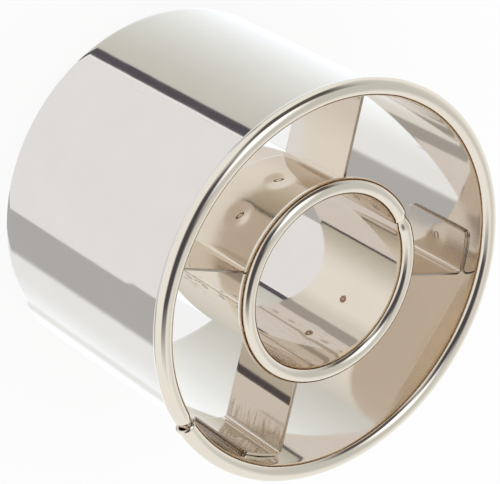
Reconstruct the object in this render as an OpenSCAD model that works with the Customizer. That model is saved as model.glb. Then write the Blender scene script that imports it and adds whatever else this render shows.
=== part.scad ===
// Donut cutter: a round outer cutter and a hole cutter, both rolled from thin steel strip with
// a curled rim, held on one axis by two hat-shaped straps that are spot welded to both walls.
// The cutter stands on its two cutting edges. The axis is Z, the edges are at z = 0, and the
// curled rims are on top. The straps face +X and -X.

/* [Outer cutter] */
// Diameter over the outer cutter's curled rim
cutter_d = 90.4; // [80:0.1:110]
// Height of the outer cutter from its cutting edge to the crown of its rim
cutter_h = 63.5; // [50:0.5:80]
// Thickness of the outer cutter's strip
cutter_t = 0.45; // [0.35:0.05:0.6]
// Diameter of the outer cutter's curled rim
cutter_bead_d = 3.9; // [2.8:0.1:4.6]
// Direction of the outer cutter's lap seam
cutter_seam_a = 90; // [75:1:100]

/* [Hole cutter] */
// Bore of the hole cutter
hole_d = 39.0; // [34:0.1:46]
// How far the crown of the hole cutter's rim lies below that of the outer cutter
hole_drop = 1.55; // [0:0.05:4]
// Thickness of the hole cutter's strip
hole_t = 0.45; // [0.35:0.05:0.6]
// Diameter of the hole cutter's curled rim
hole_bead_d = 3.6; // [2.8:0.1:4.4]
// Direction of the hole cutter's lap seam
hole_seam_a = 267; // [240:1:280]

/* [Straps] */
// Width of a strap, measured along the cutter's axis
strap_w = 19.5; // [14:0.5:26]
// How far a strap's upper edge lies below the crown of the outer rim
strap_drop = 5.5; // [4.5:0.5:12]
// Thickness of a strap's sheet
strap_t = 0.55; // [0.4:0.05:0.8]
// Direction that the near strap faces
near_strap_a = -0.7; // [-6:0.1:6]
// Angle between the near strap's two arms
near_spread = 85; // [70:0.5:96]
// Direction that the far strap faces
far_strap_a = 181; // [174:0.1:186]
// Angle between the far strap's two arms
far_spread = 89.5; // [70:0.5:96]
// Length of a strap's end tab, from the middle of its arm
tab_l = 10; // [7:0.1:11]
// Inside radius of a strap's bends
bend_r = 1.0; // [0.5:0.1:2]
// Radius of the tabs' corners
corner_r = 1.2; // [0.5:0.1:2]
// Clearance between a strap and the walls that it sits on
seat_gap = 0.05; // [0.02:0.01:0.1]

/* [Welds] */
// Diameter of a strap's weld nuggets
weld_d = 2.8; // [2:0.1:4]
// How deep a strap's nuggets reach into the wall behind
weld_bite = 0.2; // [0.1:0.05:0.25]
// Depth of the electrode's dimple in a strap
dimple_depth = 0.12; // [0.05:0.01:0.2]
// Width of the electrode's dimple
dimple_d = 4.4; // [3.5:0.1:6]
// Angle from the middle of a saddle to each of its two welds
saddle_weld_a = 16.2; // [10:0.2:24]

/* [Lap seams] */
// Length of the overlap where a strip's ends meet
lap_l = 6; // [4:0.5:9]
// Length over which a strip's end steps out to pass over the other
joggle_l = 2.5; // [1.5:0.1:4]
// Width of the slit in front of the end that is passed over
slit_w = 0.4; // [0.2:0.05:0.8]
// Clearance between the two layers of a lap
lap_gap = 0.05; // [0.02:0.01:0.1]
// Diameter of a seam's weld nuggets
seam_weld_d = 2.2; // [1.5:0.1:3]
// Depth of a seam weld's end below the sheet
seam_dimple = 0.05; // [0.02:0.01:0.1]
// How deep a seam's nuggets reach into the outside layer, whose face stays plain
seam_bite = 0.2; // [0.1:0.05:0.25]
// Distance between a seam's welds
seam_pitch = 6.4; // [5:0.1:12]
// Height of a seam's lowest weld above the cutting edge
seam_first = 4.5; // [3:0.5:8]

/* [Hidden] */
$fn = 120;
bead_fn = 48;

// Outer cutter
cutter_bead_r = cutter_bead_d / 2;
cutter_r_in = cutter_d / 2 - cutter_bead_d;

// Hole cutter
hole_h = cutter_h - hole_drop;
hole_bead_r = hole_bead_d / 2;
hole_r_in = hole_d / 2;
hole_r_out = hole_r_in + hole_t;

// Saddle, on the hole cutter's wall
saddle_r0 = hole_r_out + seat_gap;
saddle_r1 = saddle_r0 + strap_t;

// Tabs, inside the outer cutter's wall
tab_r1 = cutter_r_in - seat_gap;
tab_r0 = tab_r1 - strap_t;

// Arms and bends: each bend is centred so that it is tangent to the arm and to the curved sheet
bend_mid_r = bend_r + strap_t / 2;
arc_error = 0.002;
inner_bend_at = saddle_r1 + bend_r;
outer_bend_at = tab_r0 - bend_r;

// Height of the straps
strap_z1 = cutter_h - strap_drop;
strap_z0 = strap_z1 - strap_w;
strap_mid = (strap_z0 + strap_z1) / 2;

// Radius of the electrode's rounded tip, from the width and depth of the dimple it leaves
tip_r = (dimple_d * dimple_d / 4 + dimple_depth * dimple_depth) / (2 * dimple_depth);

// Room that a cutting tool takes beyond a face
over = 1;

steel = [0.80, 0.79, 0.77];
strap_steel = [0.76, 0.74, 0.70];
weld_brown = [0.52, 0.43, 0.35];

// Angle that an arc of a given length spans at a given radius
function arc_angle(length, r) = length / r * 180 / PI;

// Angle at which a curl ends, so that its mouth clears both layers of the wall
function curl_end(t, bead_r) = acos(min(1, (2 * t + 3 * lap_gap) / bead_r - 1));

// Direction at an angle, and points along an arc close enough to pass for it
function towards(a) = [cos(a), sin(a)];
function arc_points(centre, r, from, to) =
    let (steps = ceil(abs(to - from) / (2 * acos(1 - arc_error / r))))
    [for (i = [0 : steps]) centre + r * towards(from + (to - from) * i / steps)];

// Places round the axis, from the middle of a saddle, of the two bends and of the tab's end and weld
function inner_bend_a(spread) = spread / 2 - asin(bend_mid_r / inner_bend_at);
function outer_bend_a(spread) = spread / 2 + asin(bend_mid_r / outer_bend_at);
function tab_end_a(spread) = spread / 2 + arc_angle(tab_l, tab_r1);
function tab_weld_a(spread) = (outer_bend_a(spread) + tab_end_a(spread)) / 2;

// Edge of a strap's outline from the middle of its saddle to the end of a tab. It runs along
// the saddle, round the inner bend, out along the arm, round the outer bend, along the tab.
function strap_edge(spread, saddle_r, inner_r, outer_r, tab_r) =
    let (inner_a = inner_bend_a(spread), outer_a = outer_bend_a(spread), arm_a = spread / 2) concat(
        arc_points([0, 0], saddle_r, 0, inner_a),
        arc_points(inner_bend_at * towards(inner_a), inner_r, inner_a + 180, arm_a + 90),
        arc_points(outer_bend_at * towards(outer_a), outer_r, arm_a - 90, outer_a),
        arc_points([0, 0], tab_r, outer_a, tab_end_a(spread))
    );
function backwards(points) = [for (i = [len(points) - 1 : -1 : 0]) points[i]];
function mirrored(points) = [for (p = points) [p[0], -p[1]]];

// Heights of a seam's welds, below the curl
function seam_heights(h, bead_d) =
    [for (z = [seam_first : seam_pitch : h - bead_d - seam_weld_d]) z];

// Pie slice that opens the curl's mouth, below and inside its centre
module mouth(t, bead_r) {
    reach = 2 * bead_r;
    a = curl_end(t, bead_r);
    polygon([[0, 0], [-reach, 0], [-reach, -reach], [reach * cos(a), -reach * sin(a)]]);
}

// Section of one layer: straight wall and open curl. The outside layer of a lap is carried
// out by one sheet on the wall, so its curl nests inside the other one.
module strip_section(r_in, h, t, bead_r, carried_out) {
    curl_r = bead_r - carried_out;
    translate([r_in + carried_out, 0]) square([t, h - bead_r]);
    translate([r_in + bead_r, h - bead_r]) difference() {
        circle(r = curl_r, $fn = bead_fn);
        circle(r = curl_r - t, $fn = bead_fn);
        mouth(t, bead_r);
    }
}

// Section of the metal that joins the two layers where the strip steps out. It takes in the
// hairline and half of each layer, and stops short of the curl's mouth.
module joggle_section(r_in, h, t, bead_r) {
    translate([r_in + t / 2, 0]) square([t + lap_gap, h - bead_r]);
    translate([r_in + bead_r, h - bead_r]) difference() {
        circle(r = bead_r - t / 2, $fn = bead_fn);
        circle(r = bead_r - 3 * t / 2 - lap_gap, $fn = bead_fn);
        translate([-2 * bead_r, -4 * bead_r]) square(4 * bead_r);
    }
}

// Strip rolled into a tube, with one end passing outside the other
module rolled_strip(r_in, h, t, bead_r, seam_a) {
    lap_a = arc_angle(lap_l, r_in);
    joggle_a = arc_angle(joggle_l, r_in);
    slit_a = arc_angle(slit_w, r_in);
    rotate([0, 0, seam_a]) rotate_extrude(angle = 360 - slit_a)
        strip_section(r_in, h, t, bead_r, 0);
    rotate([0, 0, seam_a - joggle_a]) {
        rotate_extrude(angle = joggle_a + lap_a)
            strip_section(r_in, h, t, bead_r, t + lap_gap);
        rotate_extrude(angle = joggle_a - slit_a)
            joggle_section(r_in, h, t, bead_r);
    }
}

// Round bar that points away from the axis
module radial_pin(d, r0, r1, a, z) {
    rotate([0, 0, a]) translate([r0, 0, z]) rotate([0, 90, 0]) cylinder(d = d, h = r1 - r0);
}

// Nuggets down a lap seam, each from the inside layer's face into the outside layer
module seam_nuggets(r_in, h, t, bead_d, seam_a, proud) {
    a = seam_a + arc_angle(lap_l, r_in) / 2;
    for (z = seam_heights(h, bead_d))
        radial_pin(seam_weld_d, r_in - proud, r_in + t + lap_gap + seam_bite, a, z);
}

// Nuggets of one tab or saddle, mirrored to both sides of a strap
module strap_nuggets(r0, r1, a) {
    for (side = [-1, 1]) radial_pin(weld_d, r0, r1, side * a, strap_mid);
}

// What is cut off to round a tab's upper corner
module corner_waste(spread) {
    rotate([0, 0, tab_end_a(spread)]) translate([tab_r0 - over, 0, strap_w]) difference() {
        translate([0, -corner_r, -corner_r])
            cube([strap_t + 2 * over, corner_r + over, corner_r + over]);
        translate([-over, -corner_r, -corner_r]) rotate([0, 90, 0])
            cylinder(r = corner_r, h = strap_t + 4 * over);
    }
}

// Strap seen along the cutter's axis: half of each face, then the same mirrored
module strap_outline(spread) {
    back = strap_edge(spread, saddle_r0, bend_r + strap_t, bend_r, tab_r0);
    front = strap_edge(spread, saddle_r1, bend_r, bend_r + strap_t, tab_r1);
    half = concat(back, backwards(front));
    polygon(concat(half, backwards(mirrored(half))));
}

// Dimple left in a face by a rounded electrode tip. It sinks outwards or, with -1, inwards.
module dimple(r_face, outwards, a) {
    rotate([0, 0, a]) translate([r_face, 0, strap_mid]) rotate([0, 90 * outwards, 0])
        rotate_extrude() intersection() {
            translate([0, dimple_depth - tip_r]) circle(r = tip_r);
            translate([0, -over]) square([dimple_d / 2, 2 * over]);
        }
}

// One hat-shaped strap, with its saddle facing +X before it is turned to its direction
module strap(facing_a, spread) {
    rotate([0, 0, facing_a]) difference() {
        translate([0, 0, strap_z0]) linear_extrude(strap_w) strap_outline(spread);
        translate([0, 0, strap_z0]) for (side = [0, 1]) mirror([0, side, 0]) {
            corner_waste(spread);
            translate([0, 0, strap_w]) mirror([0, 0, 1]) corner_waste(spread);
        }
        strap_nuggets(tab_r0 - over, tab_r1 + over, tab_weld_a(spread));
        strap_nuggets(saddle_r0 - over, saddle_r1 + over, saddle_weld_a);
        for (side = [-1, 1]) {
            dimple(tab_r0, 1, side * tab_weld_a(spread));
            dimple(saddle_r1, -1, side * saddle_weld_a);
        }
    }
}

// Nuggets of both straps' tabs
module tab_nuggets() {
    for (strap = [[near_strap_a, near_spread], [far_strap_a, far_spread]]) rotate([0, 0, strap[0]])
        strap_nuggets(tab_r0 + dimple_depth, cutter_r_in + weld_bite, tab_weld_a(strap[1]));
}

// Nuggets of both straps' saddles
module saddle_nuggets() {
    for (facing_a = [near_strap_a, far_strap_a]) rotate([0, 0, facing_a])
        strap_nuggets(hole_r_out - weld_bite, saddle_r1 - dimple_depth, saddle_weld_a);
}

module outer_cutter() {
    color(steel) difference() {
        rolled_strip(cutter_r_in, cutter_h, cutter_t, cutter_bead_r, cutter_seam_a);
        seam_nuggets(cutter_r_in, cutter_h, cutter_t, cutter_bead_d, cutter_seam_a, over);
        tab_nuggets();
    }
}

module hole_cutter() {
    color(steel) difference() {
        rolled_strip(hole_r_in, hole_h, hole_t, hole_bead_r, hole_seam_a);
        seam_nuggets(hole_r_in, hole_h, hole_t, hole_bead_d, hole_seam_a, over);
        saddle_nuggets();
    }
}

module near_strap() {
    color(strap_steel) strap(near_strap_a, near_spread);
}

module far_strap() {
    color(strap_steel) strap(far_strap_a, far_spread);
}

module tab_welds() {
    color(weld_brown) tab_nuggets();
}

module saddle_welds() {
    color(weld_brown) saddle_nuggets();
}

module outer_seam_welds() {
    color(weld_brown)
        seam_nuggets(cutter_r_in, cutter_h, cutter_t, cutter_bead_d, cutter_seam_a, -seam_dimple);
}

module hole_seam_welds() {
    color(weld_brown)
        seam_nuggets(hole_r_in, hole_h, hole_t, hole_bead_d, hole_seam_a, -seam_dimple);
}

outer_cutter();
hole_cutter();
near_strap();
far_strap();
tab_welds();
saddle_welds();
outer_seam_welds();
hole_seam_welds();
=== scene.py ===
import math

import bmesh
import bpy
import numpy as np
from mathutils import Euler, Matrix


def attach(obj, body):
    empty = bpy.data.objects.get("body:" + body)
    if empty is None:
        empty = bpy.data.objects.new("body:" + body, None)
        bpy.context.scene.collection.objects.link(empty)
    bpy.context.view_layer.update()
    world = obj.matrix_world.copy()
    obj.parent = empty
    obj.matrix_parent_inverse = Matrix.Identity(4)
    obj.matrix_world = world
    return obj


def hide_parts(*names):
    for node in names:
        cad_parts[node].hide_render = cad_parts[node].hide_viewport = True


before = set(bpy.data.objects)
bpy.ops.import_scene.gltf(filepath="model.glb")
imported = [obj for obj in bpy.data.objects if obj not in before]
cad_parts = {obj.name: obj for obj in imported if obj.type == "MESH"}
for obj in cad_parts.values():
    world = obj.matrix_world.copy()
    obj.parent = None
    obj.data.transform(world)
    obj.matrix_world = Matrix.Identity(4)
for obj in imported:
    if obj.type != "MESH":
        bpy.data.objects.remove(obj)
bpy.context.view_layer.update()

MM = 0.001

# Sizes in millimetres and angles in degrees, the same as in the part's source
CUTTER_D = 90.4
CUTTER_H = 63.5
CUTTER_T = 0.45
CUTTER_BEAD_R = 1.95
CUTTER_SEAM_A = 90.0
HOLE_D = 39.0
HOLE_DROP = 1.55
HOLE_T = 0.45
HOLE_BEAD_R = 1.8
HOLE_SEAM_A = 267.0
STRAP_W = 19.5
STRAP_DROP = 5.5
STRAP_T = 0.55
# Each strap's direction and the angle between its arms
STRAPS = {"near_strap": (-0.7, 85.0), "far_strap": (181.0, 89.5)}
TAB_L = 10.0
BEND_R = 1.0
CORNER_R = 1.2
SEAT_GAP = 0.05
SADDLE_WELD_A = 16.2
LAP_L = 6.0
JOGGLE_L = 2.5
LAP_GAP = 0.05
SEAM_WELD_D = 2.2
SEAM_PITCH = 6.4
SEAM_FIRST = 4.5

CUTTER_R_IN = CUTTER_D / 2 - 2 * CUTTER_BEAD_R
HOLE_R_IN = HOLE_D / 2
HOLE_H = CUTTER_H - HOLE_DROP
STRAP_MID = CUTTER_H - STRAP_DROP - STRAP_W / 2
SADDLE_R0 = HOLE_R_IN + HOLE_T + SEAT_GAP
SADDLE_R1 = SADDLE_R0 + STRAP_T
TAB_R1 = CUTTER_R_IN - SEAT_GAP
TAB_R0 = TAB_R1 - STRAP_T

# How finely the meshes are divided, and the rounding of the sheet's edges
WALL_STEP = 1.0
TURN_STEP = 1.0
CURL_OUTER_STEPS = 40
CURL_INNER_STEPS = 32
STRAP_COLUMNS = 44
SADDLE_STEPS = 44
BEND_STEPS = 12
ARM_STEPS = 40
TAB_STEPS = 22
MARK_SIDES = 32
EDGE_STEPS = 3
EDGE_R = 0.10
# Where a strap's rounded edge has its middle point, as a share of its radius
EDGE_BULGE = 0.3
# The end of a curl: half its rounded width as a share of the sheet, the angles of its two corners,
# and the angle over which it is drawn in
TIP_HALF = 0.45
TIP_CORNERS = (30, 150)
TIP_A = 3

# The dimple that an electrode leaves in a strap, smoother and wider than its tip
DIMPLE_R = 4.4
DIMPLE_SINK = 0.12
# How much painted shade and dullness a strap's cut edge gets, as a share: along the arms and the saddle,
# and along the tabs
ARM_EDGE = 0.6
TAB_EDGE = 0.0
# The walls are pushed out a little over the tabs, and in a little behind the saddles' welds
TAB_PUSH = 0.07
TAB_PUSH_A = 3.6
TAB_PUSH_Z = (46.0, 50.0)
SADDLE_PUSH = 0.04
SADDLE_PUSH_R = 2.2
# The outer rim about its seam: the end that is passed into the curl is formed narrower over an
# angle, and the curl that takes it in is spread, with its edge flared
RIM_NARROW = 0.12
RIM_NARROW_A = 9.0
RIM_SPREAD = 0.15
RIM_SPREAD_A = 15.0
RIM_FLARE = 0.14
RIM_FLARE_A = 2.5
# The hole cutter's rim about its seam, whose outer end is hammered down over an angle
HOLE_RIM_SINK = 0.42
HOLE_RIM_SINK_A = 5.0

# Camera, fitted to the outlines of both rims in the photograph
CAMERA_PLACE = (323.2, 133.6, 394.1)
CAMERA_TURN = (-26.21, -36.90, -118.40)
CAMERA_LENS = 166.1
SENSOR = 36.0
CAMERA_CLIP = (10.0, 50000.0)

# Reflectance of the bright sheet, and of the straps' duller one
WALL_COLOUR = (0.82, 0.75, 0.665)
STRAP_COLOUR = (0.79, 0.705, 0.61)
WALL_ROUGH = 0.055
STRAP_ROUGH = 0.11
# How scratched each sheet is, where a greater value gives more and longer scratches
WALL_SCRATCHED = -0.06
STRAP_SCRATCHED = -0.02
# Depth of the steel's waviness and lines, and of the welds' uneven faces
STEEL_DEPTH = 0.012
WELD_DEPTH = 0.05
# Each mark's share of its tone, its tone, its added roughness and its depth
SCRATCH = (0.25, (0.42, 0.36, 0.30), 0.10, 0.12)
STREAK = (0.45, (0.36, 0.29, 0.23), 0.15, 0.3)
STAIN = (0.85, (0.32, 0.17, 0.08), 0.35, 2.0)
# The cut edge's dark tone is painted shade along the straps' edges; its added roughness is the edge's own
# dullness
CUT_EDGE_SHADE_AND_DULLNESS = (1.0, (0.20, 0.15, 0.11), 0.25, 0.0)
# Light and dark tone and roughness of the welds' faces
BURNT = ((0.44, 0.23, 0.09), (0.17, 0.08, 0.03), 0.42)
PLAIN = ((0.66, 0.60, 0.52), (0.50, 0.42, 0.33), 0.22)
# Inner and outer radius of the heat marks behind the saddles' welds
SPECK = (0.6, 1.3)
# How deep in the hole cutter's sheet its outside begins, for marks on that face alone
OUTSIDE = (0.2, 0.3)
# Angles and heights of the rubbed patch outside the hole cutter, and of the drawn lines in its bore
RUBBED_A = (59, 71)
RUBBED_Z = (36, 58)
DRAWN_A = (146, 170)
DRAWN_Z = (24, 58)
# Angles of the lines across an arm, and the radii over which they begin and end
ARM_LINES_A = (131, 142)
ARM_LINES_START = (34.8, 36.8)
ARM_LINES_END = (39.2, 40.2)

# Width, length and tilt of the marks on the tabs and on the saddles
TAB_MARK = (2.0, 2.0, 0)
SADDLE_MARK = (1.0, 2.3, 150)

# The floor's half width, its tone, and the share of plain white in what the camera sees of it
FLOOR_HALF = 6000.0
FLOOR_TONE = 0.95
FLOOR_WHITE = 0.85


def direction(angle):
    """Unit vector in the plan at an angle in degrees."""
    return np.array([math.cos(math.radians(angle)), math.sin(math.radians(angle))])


def smooth(value):
    """Eases a value from 0 to 1."""
    value = min(1.0, max(0.0, value))
    return value * value * (3 - 2 * value)


def arc(centre, radius, start, end, steps):
    """Points along an arc, from one angle to another in degrees."""
    angles = [start + (end - start) * i / steps for i in range(steps + 1)]
    return [np.array(centre) + radius * direction(a) for a in angles]


def between(angle, other):
    """Difference of two angles, from -180 to 180."""
    return (angle - other + 180) % 360 - 180


def new_piece(name, verts, faces, material, slot, node, edge=None):
    """Makes a smooth piece from millimetre coordinates, which stands for a node of the part.

    edge gives each vertex a share from 0 to 1 that the material reads as the sheet's cut edge."""
    mesh = bpy.data.meshes.new(name)
    mesh.from_pydata([tuple(c * MM for c in v) for v in verts], [], faces)
    if edge is not None:
        mesh.attributes.new("edge", "FLOAT", "POINT").data.foreach_set("value", edge)
    mesh.validate()
    build = bmesh.new()
    build.from_mesh(mesh)
    bmesh.ops.recalc_face_normals(build, faces=build.faces)
    build.to_mesh(mesh)
    build.free()
    mesh.materials.append(material)
    mesh.shade_smooth()
    piece = bpy.data.objects.new(name, mesh)
    bpy.context.collection.objects.link(piece)
    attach(piece, "root")
    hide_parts(node)
    return piece


def swept(rows):
    """Faces between successive closed loops of the same length, and over both ends."""
    count = len(rows[0])
    faces = []
    for r in range(len(rows) - 1):
        for c in range(count):
            d = (c + 1) % count
            faces.append((r * count + c, r * count + d, (r + 1) * count + d, (r + 1) * count + c))
    last = (len(rows) - 1) * count
    faces.append(tuple(range(count)))
    faces.append(tuple(last + c for c in reversed(range(count))))
    return faces


# Where the straps' bends and welds lie, as in the part's source

def strap_angles(spread):
    """Angles from the middle of a saddle to the inner bend, the outer bend, the tab's end and its weld."""
    middle = BEND_R + STRAP_T / 2
    inner = spread / 2 - math.degrees(math.asin(middle / (SADDLE_R1 + BEND_R)))
    outer = spread / 2 + math.degrees(math.asin(middle / (TAB_R0 - BEND_R)))
    end = spread / 2 + math.degrees(TAB_L / TAB_R1)
    return inner, outer, end, (outer + end) / 2


def both_sides(place_of):
    """Angles round the axis at both sides of each strap's middle, by the angle between its arms."""
    return [facing + side * place_of(spread) for facing, spread in STRAPS.values() for side in (-1, 1)]


def tab_weld_places():
    """Angles round the axis of the four welds of the tabs."""
    return both_sides(lambda spread: strap_angles(spread)[3])


def saddle_weld_places():
    """Angles round the axis of the four welds of the saddles."""
    return both_sides(lambda spread: SADDLE_WELD_A)


# Rolled strips

def curl_end(sheet, bead_r):
    """Angle at which a curl ends, as in the part's source."""
    return math.degrees(math.acos(min(1, (2 * sheet + 3 * LAP_GAP) / bead_r - 1)))


def strip_section(r_in, height, sheet, bead_r, out, narrow):
    """Closed section of a strip: up the inside, over the curl, back inside it and down."""
    centre = (r_in + bead_r - narrow, height - bead_r)
    r0 = r_in + out
    r1 = r0 + sheet
    curl_r = bead_r - out - narrow
    end = -curl_end(sheet, bead_r)
    rows = int((height - bead_r) / WALL_STEP)
    top = height - bead_r
    points = arc((r0 + EDGE_R, EDGE_R), EDGE_R, 270, 180, EDGE_STEPS)
    points += [np.array([r0, EDGE_R + (top - EDGE_R) * i / rows]) for i in range(1, rows)]
    points += arc(centre, curl_r, 180, end + TIP_A, CURL_OUTER_STEPS)
    tip = (curl_r - sheet / 2) * direction(end) + centre
    points += [tip + TIP_HALF * sheet * direction(end - corner) for corner in TIP_CORNERS]
    points += arc(centre, curl_r - sheet, end + TIP_A, 180, CURL_INNER_STEPS)
    points += [np.array([r1, top - (top - EDGE_R) * i / rows]) for i in range(1, rows)]
    points += arc((r1 - EDGE_R, EDGE_R), EDGE_R, 360, 270, EDGE_STEPS)
    return points


def rolled_strip(r_in, height, sheet, bead_r, seam, narrowing, uneven):
    """Strip rolled round from the seam and over its own start, with one end stepping outwards.

    narrowing gives how much narrower the curl is at a turn, and uneven moves each point."""
    joggle = math.degrees(JOGGLE_L / r_in)
    lap = math.degrees(LAP_L / r_in)
    steps = int((360 + lap) / TURN_STEP)
    rows = []
    for i in range(steps + 1):
        turn = (360 + lap) * i / steps
        out = (sheet + LAP_GAP) * smooth((turn - 360 + joggle) / joggle)
        x, y = direction(seam + turn)
        row = []
        for radial, z in strip_section(r_in, height, sheet, bead_r, out, narrowing(turn)):
            radial, z = uneven(turn, seam + turn, radial, z)
            row.append((radial * x, radial * y, z))
        rows.append(row)
    return [v for row in rows for v in row], swept(rows)


def outer_narrowing(turn):
    """The end that goes into the curl is formed narrower, over an angle before the seam."""
    return RIM_NARROW * smooth((turn - 360 + RIM_NARROW_A) / RIM_NARROW_A)


def outer_uneven(turn, angle, radial, z):
    """The wall pushed out over each tab, and the curl spread and flared at the seam."""
    low, high = TAB_PUSH_Z
    raised = smooth((z - low) / (high - low))
    for place in tab_weld_places():
        side = between(angle, place) / TAB_PUSH_A
        radial += TAB_PUSH * raised * math.exp(-side * side)
    proud = max(0.0, radial - CUTTER_R_IN - CUTTER_BEAD_R) / CUTTER_BEAD_R
    radial += RIM_SPREAD * proud * smooth(1 - turn / RIM_SPREAD_A)
    radial += RIM_FLARE * proud * smooth(1 - turn / RIM_FLARE_A)
    return radial, z


def no_narrowing(turn):
    """The hole cutter's curl keeps its width all round."""
    return 0.0


def hole_uneven(turn, angle, radial, z):
    """The wall pushed in behind each of the saddles' welds, and the rim's end hammered down."""
    proud = max(0.0, radial - HOLE_R_IN - HOLE_BEAD_R) / HOLE_BEAD_R
    risen = max(0.0, z - HOLE_H + HOLE_BEAD_R) / HOLE_BEAD_R
    sink = HOLE_RIM_SINK * smooth(1 - turn / HOLE_RIM_SINK_A)
    radial -= sink * proud
    z -= sink * risen
    for place in saddle_weld_places():
        across = math.radians(between(angle, place)) * HOLE_R_IN
        away = (across * across + (z - STRAP_MID) ** 2) / SADDLE_PUSH_R ** 2
        radial -= SADDLE_PUSH * math.exp(-away)
    return radial, z


# Straps

def strap_path(spread):
    """Points along the middle of a strap's sheet and the way its front looks, for the +Y half."""
    t2 = STRAP_T / 2
    middle = BEND_R + t2
    arm = spread / 2
    inner_a, outer_a, end_a, _ = strap_angles(spread)
    saddle = np.linspace(0, inner_a, SADDLE_STEPS + 1)
    path = [((SADDLE_R0 + t2) * direction(a), direction(a)) for a in saddle]
    inner = (SADDLE_R1 + BEND_R) * direction(inner_a)
    for a in np.linspace(inner_a + 180, arm + 90, BEND_STEPS + 1)[1:]:
        path.append((inner + middle * direction(a), -direction(a)))
    start = path[-1][0]
    outer = (TAB_R0 - BEND_R) * direction(outer_a)
    end = outer + middle * direction(arm - 90)
    for share in np.linspace(0, 1, ARM_STEPS + 1)[1:]:
        path.append((start + (end - start) * share, direction(arm - 90)))
    for a in np.linspace(arm - 90, outer_a, BEND_STEPS + 1)[1:]:
        path.append((outer + middle * direction(a), direction(a)))
    for a in np.linspace(outer_a, end_a, TAB_STEPS + 1)[1:]:
        path.append(((TAB_R1 - t2) * direction(a), direction(a)))
    return path


def strap_loop(top):
    """Section of a strap's sheet: depth, height and share of cut edge, with rounded edges."""
    t2 = STRAP_T / 2
    soft = EDGE_R * EDGE_BULGE
    face = np.linspace(EDGE_R - top, top - EDGE_R, STRAP_COLUMNS + 1)
    loop = [(t2, z, 0.0) for z in face]
    loop += [(t2 - soft, top - soft, 1.0), (t2 - EDGE_R, top, 1.0)]
    loop += [(EDGE_R - t2, top, 1.0), (soft - t2, top - soft, 1.0)]
    loop += [(-t2, z, 0.0) for z in reversed(face)]
    loop += [(soft - t2, soft - top, 1.0), (EDGE_R - t2, -top, 1.0)]
    loop += [(t2 - EDGE_R, -top, 1.0), (t2 - soft, soft - top, 1.0)]
    return loop


def sunk(x, y, z, normal, depth, dimples):
    """Moves a point of a strap's face into the dimple that it lies in."""
    for wx, wy, face in dimples:
        away = ((x - wx) ** 2 + (y - wy) ** 2 + z * z) / DIMPLE_R ** 2
        if away < 1 and depth * face > 0:
            x, y = np.array([x, y]) - normal * face * DIMPLE_SINK * (1 - away) ** 3
    return x, y


def strap_dimples(spread):
    """Middle of each dimple in the plan, and 1 for the sheet's front or -1 for its back."""
    dimples = []
    for side in (-1, 1):
        dimples.append((*(SADDLE_R1 * direction(side * SADDLE_WELD_A)), 1))
        dimples.append((*(TAB_R0 * direction(side * strap_angles(spread)[3])), -1))
    return dimples


def edge_share(share, from_end):
    """How much painted shade and dullness the cut edge gets at a distance from the strap's nearer end,
    which is an edge too.
    """
    if from_end < EDGE_R / 2:
        share = 1.0
    return share * (TAB_EDGE if EDGE_R < from_end < TAB_L else ARM_EDGE)


def strap_shape(facing, spread):
    """Hat-shaped strap with rounded edges and corners and a soft dimple at each weld."""
    half = strap_path(spread)
    path = [(p * (1, -1), n * (1, -1)) for p, n in reversed(half[1:])] + half
    steps = [float(np.linalg.norm(q - p)) for (p, _), (q, _) in zip(path, path[1:])]
    lengths = np.concatenate([[0.0], np.cumsum(steps)])
    dimples = strap_dimples(spread)
    cos, sin = direction(facing)
    rows, edge = [], []
    for (p, n), s in zip(path, lengths):
        from_end = min(s, lengths[-1] - s)
        drawn = CORNER_R - math.sqrt(max(0.0, CORNER_R ** 2 - max(0.0, CORNER_R - from_end) ** 2))
        row = []
        for depth, z, share in strap_loop(STRAP_W / 2 - drawn):
            x, y = sunk(*(p + n * depth), z, n, depth, dimples)
            row.append((x * cos - y * sin, x * sin + y * cos, z + STRAP_MID))
            edge.append(edge_share(share, from_end))
        rows.append(row)
    return [v for row in rows for v in row], swept(rows), edge


# Welds

def mark_faces(base, rings):
    """Faces of a mark: between its rings, over its middle and under its foot."""
    faces = []
    for r in range(rings - 1):
        low, high = base + r * MARK_SIDES, base + (r + 1) * MARK_SIDES
        for i in range(MARK_SIDES):
            j = (i + 1) % MARK_SIDES
            faces.append((low + i, low + j, high + j, high + i))
    last, middle = base + (rings - 1) * MARK_SIDES, base + rings * MARK_SIDES
    for i in range(MARK_SIDES):
        j = (i + 1) % MARK_SIDES
        faces.append((last + i, last + j, middle))
        faces.append((base + j, base + i, middle + 1))
    return faces


def weld_mark(verts, faces, centre, outward, across, along, tilt, profile):
    """Adds a low oval mark to the lists: rings of a share of its size, each with its height."""
    outward = np.array(outward) / np.linalg.norm(outward)
    side = np.cross((0, 0, 1), outward)
    up = np.cross(outward, side)
    cos, sin = direction(tilt)
    long_way = side * cos + up * sin
    short_way = up * cos - side * sin
    faces += mark_faces(len(verts), len(profile))
    for share, lift in profile:
        middle = centre + outward * lift
        for i in range(MARK_SIDES):
            a = direction(360 * i / MARK_SIDES) * share / 2
            verts.append(tuple(middle + long_way * a[0] * along + short_way * a[1] * across))
    verts.append(tuple(centre + outward * profile[-1][1]))
    verts.append(tuple(centre + outward * profile[0][1]))


# Profiles of a mark, from its foot below the sheet to its middle: a torn pit, a ring and a flat disc
PIT = [(1.0, -0.15), (1.0, 0.01), (0.85, 0.05), (0.6, 0.01), (0.3, -0.05)]
RING = [(1.0, -0.15), (1.0, 0.01), (0.9, 0.06), (0.72, 0.07), (0.5, 0.01), (0.2, -0.02)]
DISC = [(1.0, -0.06), (0.98, 0.015), (0.8, 0.03), (0.5, 0.017), (0.2, 0.009)]


def strap_marks(places, radius, face, across, along, tilt, profile):
    """Weld marks in the middle of the dimples of both straps."""
    verts, faces = [], []
    for place in places:
        out = direction(place)
        centre = np.array([*((radius - face * DIMPLE_SINK) * out), STRAP_MID])
        weld_mark(verts, faces, centre, (*(face * out), 0), across, along, tilt, profile)
    return verts, faces


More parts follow.
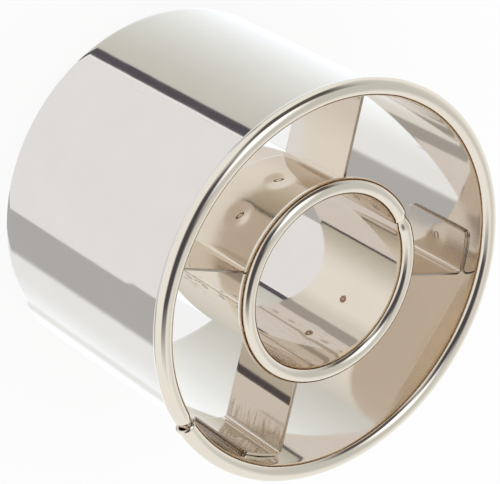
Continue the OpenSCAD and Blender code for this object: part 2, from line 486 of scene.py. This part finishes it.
def seam_marks(r_in, height, bead_r, seam):
    """Weld marks down the inside of a lap seam, up to below the curl."""
    verts, faces = [], []
    out = direction(seam + math.degrees(LAP_L / r_in) / 2)
    count = int((height - 2 * bead_r - SEAM_WELD_D - SEAM_FIRST) / SEAM_PITCH) + 1
    for z in [SEAM_FIRST + SEAM_PITCH * i for i in range(count)]:
        centre = np.array([*(r_in * out), z])
        weld_mark(verts, faces, centre, (*(-out), 0), SEAM_WELD_D, SEAM_WELD_D, 0, DISC)
    return verts, faces


# Materials, in which the scales of noise are counted per metre

class Nodes:
    """Short way to add and join shader nodes."""

    def __init__(self, tree):
        self.tree = tree
        self.tree.nodes.clear()

    def add(self, kind, inputs=None, **settings):
        """New node with its inputs set or linked."""
        node = self.tree.nodes.new(kind)
        for key, value in settings.items():
            setattr(node, key, value)
        for key, value in (inputs or {}).items():
            if isinstance(value, bpy.types.NodeSocket):
                self.tree.links.new(value, node.inputs[key])
            else:
                node.inputs[key].default_value = value
        return node

    def maths(self, operation, a, b=0.0, c=0.0):
        """Result of a sum."""
        node = self.add("ShaderNodeMath", {0: a, 1: b, 2: c}, operation=operation)
        return node.outputs[0]

    def ramp(self, value, low, high, to_low=0.0, to_high=1.0):
        """Eases from one value to another while the input goes from low to high."""
        node = self.add(
            "ShaderNodeMapRange",
            {"Value": value, "From Min": low, "From Max": high, "To Min": to_low, "To Max": to_high},
            interpolation_type="SMOOTHSTEP",
        )
        return node.outputs["Result"]

    def window(self, value, low, high, soft_low, soft_high):
        """1 between two values and 0 outside, with soft edges. None leaves a side open."""
        mask = 1.0
        if low is not None:
            mask = self.ramp(value, low - soft_low, low + soft_low)
        if high is not None:
            upper = self.ramp(value, high - soft_high, high + soft_high, 1.0, 0.0)
            mask = upper if low is None else self.maths("MULTIPLY", mask, upper)
        return mask

    def noise(self, vector, scale, detail=2.0, roughness=0.5):
        """Cloudy noise, about 0.5."""
        inputs = {"Vector": vector, "Scale": scale, "Detail": detail, "Roughness": roughness}
        return self.add("ShaderNodeTexNoise", inputs).outputs["Fac"]

    def stretched(self, vector, scale, turn=(0, 0, 0)):
        """Place scaled and turned, for noise that is longer one way."""
        node = self.add("ShaderNodeMapping", {"Vector": vector, "Scale": scale, "Rotation": turn})
        return node.outputs["Vector"]

    def mix(self, factor, a, b):
        """Mix of two colours."""
        node = self.add("ShaderNodeMix", {"Factor": factor}, data_type="RGBA")
        for socket, value in ((node.inputs[6], a), (node.inputs[7], b)):
            if isinstance(value, bpy.types.NodeSocket):
                self.tree.links.new(value, socket)
            else:
                socket.default_value = (*value, 1.0)
        return node.outputs[2]

    def around(self, place):
        """Azimuth in degrees, radius and height of a place, in millimetres."""
        parts = self.add("ShaderNodeSeparateXYZ", {"Vector": place})
        azimuth = self.maths("ARCTAN2", parts.outputs["Y"], parts.outputs["X"])
        squares = [self.maths("MULTIPLY", parts.outputs[axis], parts.outputs[axis]) for axis in "XY"]
        radius = self.maths("SQRT", self.maths("ADD", *squares))
        azimuth = self.maths("MULTIPLY", azimuth, math.degrees(1))
        return azimuth, self.maths("DIVIDE", radius, MM), self.maths("DIVIDE", parts.outputs["Z"], MM)

    def away(self, place, angle, radius, height):
        """Distance in millimetres from a point given by its angle, radius and height."""
        x, y = radius * direction(angle)
        point = (x * MM, y * MM, height * MM)
        node = self.add("ShaderNodeVectorMath", {0: place, 1: point}, operation="DISTANCE")
        return self.maths("DIVIDE", node.outputs["Value"], MM)


def new_material(name):
    """Empty material and its nodes."""
    material = bpy.data.materials.new(name)
    material.use_nodes = True
    return material, Nodes(material.node_tree)


def most(n, masks):
    """Greatest of several masks."""
    total = masks[0]
    for mask in masks[1:]:
        total = n.maths("MAXIMUM", total, mask)
    return total


def scratches(n, place, amount, seed):
    """Sparse fine lines lying in several directions: 1 on a line, 0 elsewhere."""
    lines = []
    for i in range(4):
        turn = (0.9 * i + seed, 1.7 * i + 0.4 * seed, 0.6 * i)
        long = n.stretched(place, (60, 9000, 60), turn)
        line = n.ramp(n.noise(long, 1.0, 1.0), 0.72 - amount, 0.76 - amount)
        gate = n.ramp(n.noise(n.stretched(place, (90, 90, 90), turn), 1.0, 1.0), 0.50, 0.62)
        lines.append(n.maths("MULTIPLY", line, gate))
    return most(n, lines)


def no_marks(n, place):
    """No stain and no rough streak."""
    return 0.0, 0.0


def hole_marks(n, place):
    """Heat marks behind the saddles' welds, a rubbed patch outside and drawn lines in the bore."""
    azimuth, radius, height = n.around(place)
    ragged = n.maths("MULTIPLY", n.noise(place, 2400.0, 2.0), 0.9)
    rings = []
    for angle in saddle_weld_places():
        away = n.maths("ADD", n.away(place, angle, HOLE_R_IN, STRAP_MID), ragged)
        rings.append(n.window(away, *SPECK, 0.12, 0.15))
    grain = n.noise(n.stretched(place, (2600, 2600, 320)), 1.0, 3.0, 0.65)
    patch = n.noise(n.stretched(place, (500, 500, 160)), 1.0, 2.0)
    rubbed = n.maths("MULTIPLY", n.ramp(grain, 0.56, 0.66), n.ramp(patch, 0.46, 0.60))
    rubbed = n.maths("MULTIPLY", rubbed, n.window(azimuth, *RUBBED_A, 3, 4))
    rubbed = n.maths("MULTIPLY", rubbed, n.window(height, *RUBBED_Z, 3, 2))
    outside = n.ramp(radius, *[HOLE_R_IN + depth for depth in OUTSIDE])
    rubbed = n.maths("MULTIPLY", rubbed, outside)
    drawn = n.noise(n.stretched(place, (1500, 1500, 45)), 1.0, 1.0)
    drawn = n.window(drawn, 0.495, 0.503, 0.002, 0.002)
    drawn = n.maths("MULTIPLY", drawn, n.window(height, *DRAWN_Z, 6, 2))
    drawn = n.maths("MULTIPLY", drawn, n.window(azimuth, *DRAWN_A, 3, 3))
    return most(n, rings + [rubbed]), most(n, [rubbed, drawn])


def arm_lines(n, place):
    """Fine lines that the bending left across the arm towards +Y, and no stain."""
    azimuth, radius, _ = n.around(place)
    grain = n.noise(n.stretched(place, (90, 90, 2600)), 1.0, 2.0, 0.6)
    ragged = n.ramp(n.noise(n.stretched(place, (1, 1, 900)), 1.0, 2.0), 0.3, 0.7, -1.6, 1.6)
    reach = n.maths("ADD", radius, ragged)
    streak = n.maths("MULTIPLY", n.ramp(grain, 0.50, 0.60), n.ramp(reach, *ARM_LINES_START))
    streak = n.maths("MULTIPLY", streak, n.ramp(radius, *ARM_LINES_END, 1.0, 0.0))
    streak = n.maths("MULTIPLY", streak, n.window(azimuth, *ARM_LINES_A, 1, 1))
    return 0.0, streak


def metal(n, tone, roughness, height, strength, depth):
    """Finishes a metal with its tone, roughness and relief."""
    bump = n.add("ShaderNodeBump", {"Height": height, "Strength": strength, "Distance": depth * MM})
    shader = n.add(
        "ShaderNodeBsdfPrincipled",
        {"Base Color": tone, "Metallic": 1.0, "Roughness": roughness, "Normal": bump.outputs["Normal"]},
    )
    n.add("ShaderNodeOutputMaterial", {"Surface": shader.outputs["BSDF"]})


def steel(name, colour, rough, scratched, seed, marks):
    """Bright rolled sheet: faint lines along the roll, soft smears and waviness, scratches and marks.

    marks gives a stain and a streak. The cut edge of a strap is rougher, and darker through painted shade
    along the edge."""
    material, n = new_material(name)
    place = n.add("ShaderNodeTexCoord").outputs["Object"]
    roll = n.noise(n.stretched(place, (30, 30, 5200)), 1.0, 3.0, 0.6)
    smear = n.noise(place, 70.0, 4.0, 0.6)
    wave = n.noise(place, 110.0, 1.0, 0.5)
    line = scratches(n, place, scratched, seed)
    stain, streak = marks(n, place)
    edge = n.add("ShaderNodeAttribute", attribute_name="edge").outputs["Fac"]
    tone = n.mix(n.ramp(smear, 0.3, 0.7), [c * 0.975 for c in colour], colour)
    roughness = n.ramp(smear, 0.25, 0.75, rough * 0.8, rough * 1.2)
    height = n.maths("ADD", wave, n.maths("MULTIPLY", roll, 0.05))
    # The cut edge's darker tone is painted shade; its added roughness, and the other marks, belong to the
    # steel itself
    for mask, mark in ((line, SCRATCH), (streak, STREAK), (stain, STAIN), (edge, CUT_EDGE_SHADE_AND_DULLNESS)):
        share, mark_tone, dull, sunk_in = mark
        tone = n.mix(n.maths("MULTIPLY", mask, share), tone, mark_tone)
        roughness = n.maths("ADD", roughness, n.maths("MULTIPLY", mask, dull))
        height = n.maths("SUBTRACT", height, n.maths("MULTIPLY", mask, sunk_in))
    metal(n, tone, roughness, height, 1.0, STEEL_DEPTH)
    return material


def weld_metal(name, light, dark, rough):
    """Spot-weld face with uneven heat tint."""
    material, n = new_material(name)
    place = n.add("ShaderNodeTexCoord").outputs["Object"]
    cloud = n.noise(place, 1600.0, 3.0, 0.6)
    tone = n.mix(n.ramp(cloud, 0.40, 0.60), light, dark)
    metal(n, tone, rough, cloud, 0.5, WELD_DEPTH)
    return material


# Studio

def studio_floor():
    """Plain white floor that keeps a faint shadow."""
    mesh = bpy.data.meshes.new("floor")
    half = FLOOR_HALF * MM
    corners = [(x * half, y * half, 0) for x, y in ((-1, -1), (1, -1), (1, 1), (-1, 1))]
    mesh.from_pydata(corners, [], [(0, 1, 2, 3)])
    floor = bpy.data.objects.new("floor", mesh)
    bpy.context.collection.objects.link(floor)
    material, n = new_material("white_floor")
    lit = n.add("ShaderNodeBsdfDiffuse", {"Color": (FLOOR_TONE, FLOOR_TONE, FLOOR_TONE, 1)})
    white = n.add("ShaderNodeEmission", {"Color": (1, 1, 1, 1), "Strength": 1.0})
    rays = n.add("ShaderNodeLightPath")
    seen = n.maths("MULTIPLY", rays.outputs["Is Camera Ray"], FLOOR_WHITE)
    mixed = n.add("ShaderNodeMixShader", {0: seen, 1: lit.outputs[0], 2: white.outputs[0]})
    n.add("ShaderNodeOutputMaterial", {"Surface": mixed.outputs[0]})
    mesh.materials.append(material)
    floor.visible_glossy = False


# The white light tent round the part, as bright steel mirrors it, and its darker and brighter
# patches, placed so that the reflections lie as in the photograph. Each has azimuths and their
# softness, elevations and their softness, and its colour.
TENT_R = 600.0
TENT_DIVISIONS = 5
TENT = (0.98, 1.0, 0.98)
# Patches placed by the photographer's view: azimuth to the right, elevation upwards
VIEW_PATCHES = {
    "grey_wall_right": ((28, 99), (6, 18), (-34, 61), (16, 6), (0.66, 0.68, 0.66)),
    "ceiling": ((-3, 66), (13, 14), (24, 58), (7, 5), (0.11, 0.10, 0.10)),
    "camera_slot": ((-21, 35), (9, 14), (-50, 22), (14, 14), (0.085, 0.08, 0.09)),
    "softbox": ((20, 47), (9, 12), (-9, 26), (13, 5), (1.6, 1.66, 1.72)),
}
# Patches of the paper sweep below, placed by the part's own azimuth
SWEEP_TOP = -36
SWEEP_PATCHES = {
    "sweep": ((None, None), (0, 0), (None, SWEEP_TOP), (0, 3), (1.13, 1.23, 1.34)),
    "sweep_shade": ((-77, -30.3), (60, 0.5), (None, SWEEP_TOP), (0, 3), (0.645, 0.68, 0.665)),
    "flat_panel": ((-23.4, 84.0), (0.5, 0.6), (None, SWEEP_TOP), (0, 3), (0.914, 0.958, 1.04)),
    "beside_band": ((109, 146), (8, 22), (None, SWEEP_TOP), (0, 3), (0.95, 1.01, 1.08)),
    "grey_band": ((84.0, 112.2), (0.5, 2.5), (None, SWEEP_TOP), (0, 3), (0.507, 0.526, 0.562)),
    "dark_strip": ((-30.4, -23.85), (0.5, 0.5), (-66, SWEEP_TOP), (3, 3), (0.105, 0.1, 0.125)),
    "strip_edge": ((-23.85, -22.8), (0.3, 0.3), (-66, SWEEP_TOP), (3, 3), (1.05, 1.13, 1.2)),
}


def patched(n, tone, azimuth, elevation, patches):
    """Lays the patches over a colour, one after the other."""
    for sides, soft_sides, heights, soft_heights, colour in patches.values():
        inside = n.window(elevation, *heights, *soft_heights)
        if sides != (None, None):
            inside = n.maths("MULTIPLY", inside, n.window(azimuth, *sides, *soft_sides))
        tone = n.mix(inside, tone, colour)
    return tone


def camera_turn():
    """Rotation of the camera."""
    return Euler([math.radians(a) for a in CAMERA_TURN], "XYZ")


def studio_world():
    """Plain white surroundings."""
    world = bpy.data.worlds.new("studio")
    bpy.context.scene.world = world
    world.use_nodes = True
    n = Nodes(world.node_tree)
    background = n.add("ShaderNodeBackground", {"Color": (1.0, 1.0, 1.0, 1.0), "Strength": 1.0})
    n.add("ShaderNodeOutputWorld", {"Surface": background.outputs[0]})


def tent_material():
    """Light of the tent and its patches, by the direction from the part's origin."""
    material, n = new_material("light_tent")
    place = n.add("ShaderNodeTexCoord").outputs["Object"]
    way = n.add("ShaderNodeVectorMath", {0: place}, operation="NORMALIZE").outputs["Vector"]
    turn = camera_turn().to_matrix().inverted().to_euler("XYZ")
    turned = n.add("ShaderNodeMapping", {"Vector": way, "Rotation": turn}, vector_type="VECTOR")
    view = n.add("ShaderNodeSeparateXYZ", {"Vector": turned.outputs["Vector"]}).outputs
    part = n.add("ShaderNodeSeparateXYZ", {"Vector": way}).outputs
    tone = TENT
    for patches, right, forward, up in (
        (VIEW_PATCHES, view["X"], view["Z"], view["Y"]),
        (SWEEP_PATCHES, part["Y"], part["X"], part["Z"]),
    ):
        azimuth = n.maths("MULTIPLY", n.maths("ARCTAN2", right, forward), math.degrees(1))
        elevation = n.maths("MULTIPLY", n.maths("ARCSINE", up), math.degrees(1))
        tone = patched(n, tone, azimuth, elevation, patches)
    light = n.add("ShaderNodeEmission", {"Color": tone, "Strength": 1.0})
    n.add("ShaderNodeOutputMaterial", {"Surface": light.outputs[0]})
    return material


def light_tent():
    """Ball round the part that only the bright steel mirrors, and that sheds no other light."""
    mesh = bpy.data.meshes.new("light_tent")
    build = bmesh.new()
    bmesh.ops.create_icosphere(build, subdivisions=TENT_DIVISIONS, radius=TENT_R * MM)
    build.to_mesh(mesh)
    build.free()
    mesh.materials.append(tent_material())
    tent = bpy.data.objects.new("light_tent", mesh)
    bpy.context.collection.objects.link(tent)
    for rays in ("camera", "diffuse", "transmission", "volume_scatter", "shadow"):
        setattr(tent, "visible_" + rays, False)


def camera():
    """Camera at the photograph's place."""
    lens_data = bpy.data.cameras.new("camera")
    lens_data.lens = CAMERA_LENS
    lens_data.sensor_width = SENSOR
    lens_data.clip_start, lens_data.clip_end = [c * MM for c in CAMERA_CLIP]
    view = bpy.data.objects.new("camera", lens_data)
    view.location = [c * MM for c in CAMERA_PLACE]
    view.rotation_euler = camera_turn()
    bpy.context.collection.objects.link(view)
    bpy.context.scene.camera = view


def cutters():
    """Both rolled strips."""
    bright = steel("cutter_steel", WALL_COLOUR, WALL_ROUGH, WALL_SCRATCHED, 1.0, no_marks)
    marked = steel("hole_cutter_steel", WALL_COLOUR, WALL_ROUGH, WALL_SCRATCHED, 3.0, hole_marks)
    shape = rolled_strip(
        CUTTER_R_IN, CUTTER_H, CUTTER_T, CUTTER_BEAD_R, CUTTER_SEAM_A, outer_narrowing, outer_uneven
    )
    new_piece("outer_cutter_sheet", *shape, bright, "cutter_steel", "outer_cutter")
    shape = rolled_strip(HOLE_R_IN, HOLE_H, HOLE_T, HOLE_BEAD_R, HOLE_SEAM_A, no_narrowing, hole_uneven)
    new_piece("hole_cutter_sheet", *shape, marked, "cutter_steel", "hole_cutter")


def straps():
    """Both hat-shaped straps."""
    material = steel("strap_steel", STRAP_COLOUR, STRAP_ROUGH, STRAP_SCRATCHED, 2.0, arm_lines)
    for name, (facing, spread) in STRAPS.items():
        verts, faces, edge = strap_shape(facing, spread)
        new_piece(name + "_sheet", verts, faces, material, "strap_steel", name, edge)


def welds():
    """Marks of all the spot welds."""
    burnt = weld_metal("burnt_weld", *BURNT)
    plain = weld_metal("plain_weld", *PLAIN)
    shape = strap_marks(tab_weld_places(), TAB_R0, -1, *TAB_MARK, RING)
    new_piece("tab_weld_faces", *shape, plain, "weld", "tab_welds")
    shape = strap_marks(saddle_weld_places(), SADDLE_R1, 1, *SADDLE_MARK, PIT)
    new_piece("saddle_weld_faces", *shape, burnt, "weld", "saddle_welds")
    shape = seam_marks(CUTTER_R_IN, CUTTER_H, CUTTER_BEAD_R, CUTTER_SEAM_A)
    new_piece("outer_seam_weld_faces", *shape, plain, "weld", "outer_seam_welds")
    shape = seam_marks(HOLE_R_IN, HOLE_H, HOLE_BEAD_R, HOLE_SEAM_A)
    new_piece("hole_seam_weld_faces", *shape, plain, "weld", "hole_seam_welds")


camera()
studio_floor()
studio_world()
light_tent()
cutters()
straps()
welds()
bpy.context.scene.view_settings.view_transform = "Standard"
# Light is followed through all the reflections between the bright walls
bpy.context.scene.cycles.glossy_bounces = 12
